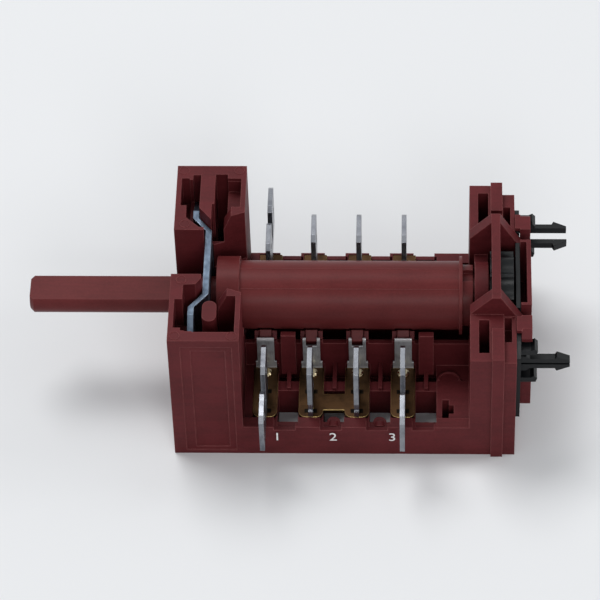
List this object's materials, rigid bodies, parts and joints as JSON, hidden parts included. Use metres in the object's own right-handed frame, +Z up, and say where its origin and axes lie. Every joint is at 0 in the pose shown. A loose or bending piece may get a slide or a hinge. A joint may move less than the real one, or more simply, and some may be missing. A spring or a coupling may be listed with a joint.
{
  "type": "oven selector switch",
  "caption": "Rotary oven selector switch with a D-shaft, cam drum in an open red-brown channel housing, plug-in tabs on both sides, fixing strap and snap clips behind.",
  "frame": {"origin": "on the drum axis, in the plane of the panel face", "axes": "+X along the drum from the panel face to the back, +Y across to the far terminal row, +Z up out of the open side"},
  "size_m": [0.0878, 0.0516, 0.028],
  "materials": {
    "red_brown_moulding": "satin moulded thermoset, fine grained",
    "drum_moulding": "satin moulded, faint turning lines",
    "silvered_leaf": "bright rolled",
    "tinned_tab": "bright tinned",
    "terminal_brass": "dull rolled brass",
    "zinc_strap": "zinc plated stamping",
    "spring_steel": "drawn wire",
    "black_moulding": "satin black nylon"
  },
  "bodies": {
    "switch_body": {"housing": "red_brown_moulding", "fixing_strap": "zinc_strap", "near_plate_1": "terminal_brass", "near_plate_2_3": "terminal_brass", "near_plate_4": "terminal_brass", "far_plate_1": "terminal_brass", "far_plate_2": "terminal_brass", "far_plate_3": "terminal_brass", "far_plate_4": "terminal_brass", "near_tab_1": "tinned_tab", "near_tab_2": "tinned_tab", "near_tab_3": "tinned_tab", "near_tab_4": "tinned_tab", "far_tab_1": "tinned_tab", "far_tab_2": "tinned_tab", "far_tab_3": "tinned_tab", "far_tab_4": "tinned_tab", "near_leaf_1": "silvered_leaf", "near_leaf_2": "silvered_leaf", "near_leaf_3": "silvered_leaf", "near_leaf_4": "silvered_leaf", "far_leaf_1": "silvered_leaf", "far_leaf_2": "silvered_leaf", "far_leaf_3": "silvered_leaf", "far_leaf_4": "silvered_leaf", "contact_rivets": "terminal_brass", "near_detent_spring": "spring_steel", "far_detent_spring": "spring_steel", "clip_plate": "black_moulding", "rear_cover": "red_brown_moulding"},
    "drum": {"cam_drum": "drum_moulding", "detent_wheel": "black_moulding"},
    "near_pusher_1_body": {"near_pusher_1": "red_brown_moulding"},
    "near_pusher_2_body": {"near_pusher_2": "red_brown_moulding"},
    "near_pusher_3_body": {"near_pusher_3": "red_brown_moulding"},
    "near_pusher_4_body": {"near_pusher_4": "red_brown_moulding"},
    "far_pusher_1_body": {"far_pusher_1": "red_brown_moulding"},
    "far_pusher_2_body": {"far_pusher_2": "red_brown_moulding"},
    "far_pusher_3_body": {"far_pusher_3": "red_brown_moulding"},
    "far_pusher_4_body": {"far_pusher_4": "red_brown_moulding"},
    "near_detent_plunger_body": {"near_detent_plunger": "spring_steel"},
    "far_detent_plunger_body": {"far_detent_plunger": "spring_steel"}
  },
  "joints": [
    {"name": "drum_turn", "type": "hinge", "parent": "switch_body", "child": "drum", "pos_m": [0, 0, 0], "axis": [1, 0, 0], "range_deg": [0, 330]},
    {"name": "near_pusher_1_slide", "type": "slide", "parent": "switch_body", "child": "near_pusher_1_body", "axis": [0, -0.7071, -0.7071], "range_m": [-0.0007, 0]},
    {"name": "near_pusher_2_slide", "type": "slide", "parent": "switch_body", "child": "near_pusher_2_body", "axis": [0, -0.7071, -0.7071], "range_m": [-0.0007, 0]},
    {"name": "near_pusher_3_slide", "type": "slide", "parent": "switch_body", "child": "near_pusher_3_body", "axis": [0, -0.7071, -0.7071], "range_m": [-0.0007, 0]},
    {"name": "near_pusher_4_slide", "type": "slide", "parent": "switch_body", "child": "near_pusher_4_body", "axis": [0, -0.7071, -0.7071], "range_m": [-0.0007, 0]},
    {"name": "far_pusher_1_slide", "type": "slide", "parent": "switch_body", "child": "far_pusher_1_body", "axis": [0, 0.7071, -0.7071], "range_m": [-0.0007, 0]},
    {"name": "far_pusher_2_slide", "type": "slide", "parent": "switch_body", "child": "far_pusher_2_body", "axis": [0, 0.7071, -0.7071], "range_m": [-0.0007, 0]},
    {"name": "far_pusher_3_slide", "type": "slide", "parent": "switch_body", "child": "far_pusher_3_body", "axis": [0, 0.7071, -0.7071], "range_m": [-0.0007, 0]},
    {"name": "far_pusher_4_slide", "type": "slide", "parent": "switch_body", "child": "far_pusher_4_body", "axis": [0, 0.7071, -0.7071], "range_m": [-0.0007, 0]},
    {"name": "near_plunger_slide", "type": "slide", "parent": "switch_body", "child": "near_detent_plunger_body", "axis": [0, -1, 0], "range_m": [-0.0006, 0], "stiffness_N_per_m": 800, "springref_m": -0.003, "deforming": ["near_detent_spring"]},
    {"name": "far_plunger_slide", "type": "slide", "parent": "switch_body", "child": "far_detent_plunger_body", "axis": [0, 1, 0], "range_m": [-0.0006, 0], "stiffness_N_per_m": 800, "springref_m": -0.003, "deforming": ["far_detent_spring"]}
  ]
}
